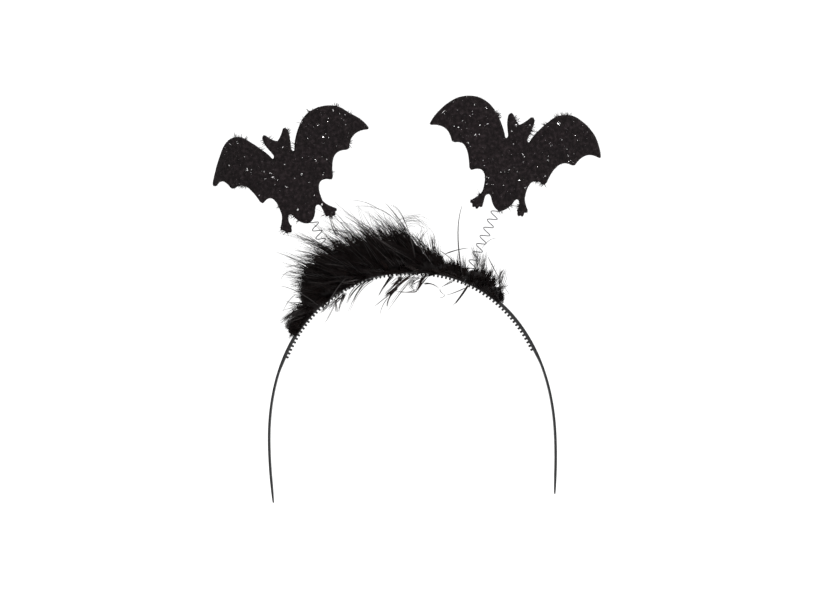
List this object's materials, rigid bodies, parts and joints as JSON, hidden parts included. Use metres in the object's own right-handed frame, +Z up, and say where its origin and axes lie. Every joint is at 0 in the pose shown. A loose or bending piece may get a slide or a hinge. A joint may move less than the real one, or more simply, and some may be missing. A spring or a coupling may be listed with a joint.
{
  "type": "bat headband",
  "caption": "Slim arched headband with comb teeth inside, a dark feather trim over the crown and two glittered bat shapes on wire springs.",
  "frame": {"origin": "inside of the band at the top of its arch, where it rests on the head", "axes": "+Z up, +X to the viewer's right across the head, the bats face -Y"},
  "size_m": [0.1836, 0.0426, 0.188],
  "materials": {
    "band_plastic": "satin black",
    "feather": "soft black feather and down",
    "spring_wire": "drawn grey wire",
    "glitter_cloth": "black cloth with fine glitter",
    "pad_felt": "black felt"
  },
  "bodies": {
    "band": {"headband": "band_plastic", "feather_trim": "feather", "left_spring": "spring_wire", "right_spring": "spring_wire"},
    "left_bob": {"left_bat": "glitter_cloth", "left_pad": "pad_felt"},
    "right_bob": {"right_bat": "glitter_cloth", "right_pad": "pad_felt"}
  },
  "joints": [
    {"name": "left_bob_nod", "type": "hinge", "parent": "band", "child": "left_bob", "pos_m": [-0.0374, 0, 0.0146], "axis": [1, 0, 0], "range_deg": [-20, 20], "stiffness_Nm_per_rad": 0.02, "deforming": ["left_spring"]},
    {"name": "right_bob_nod", "type": "hinge", "parent": "band", "child": "right_bob", "pos_m": [0.0366, 0, 0.0162], "axis": [1, 0, 0], "range_deg": [-20, 20], "stiffness_Nm_per_rad": 0.02, "deforming": ["right_spring"]}
  ]
}
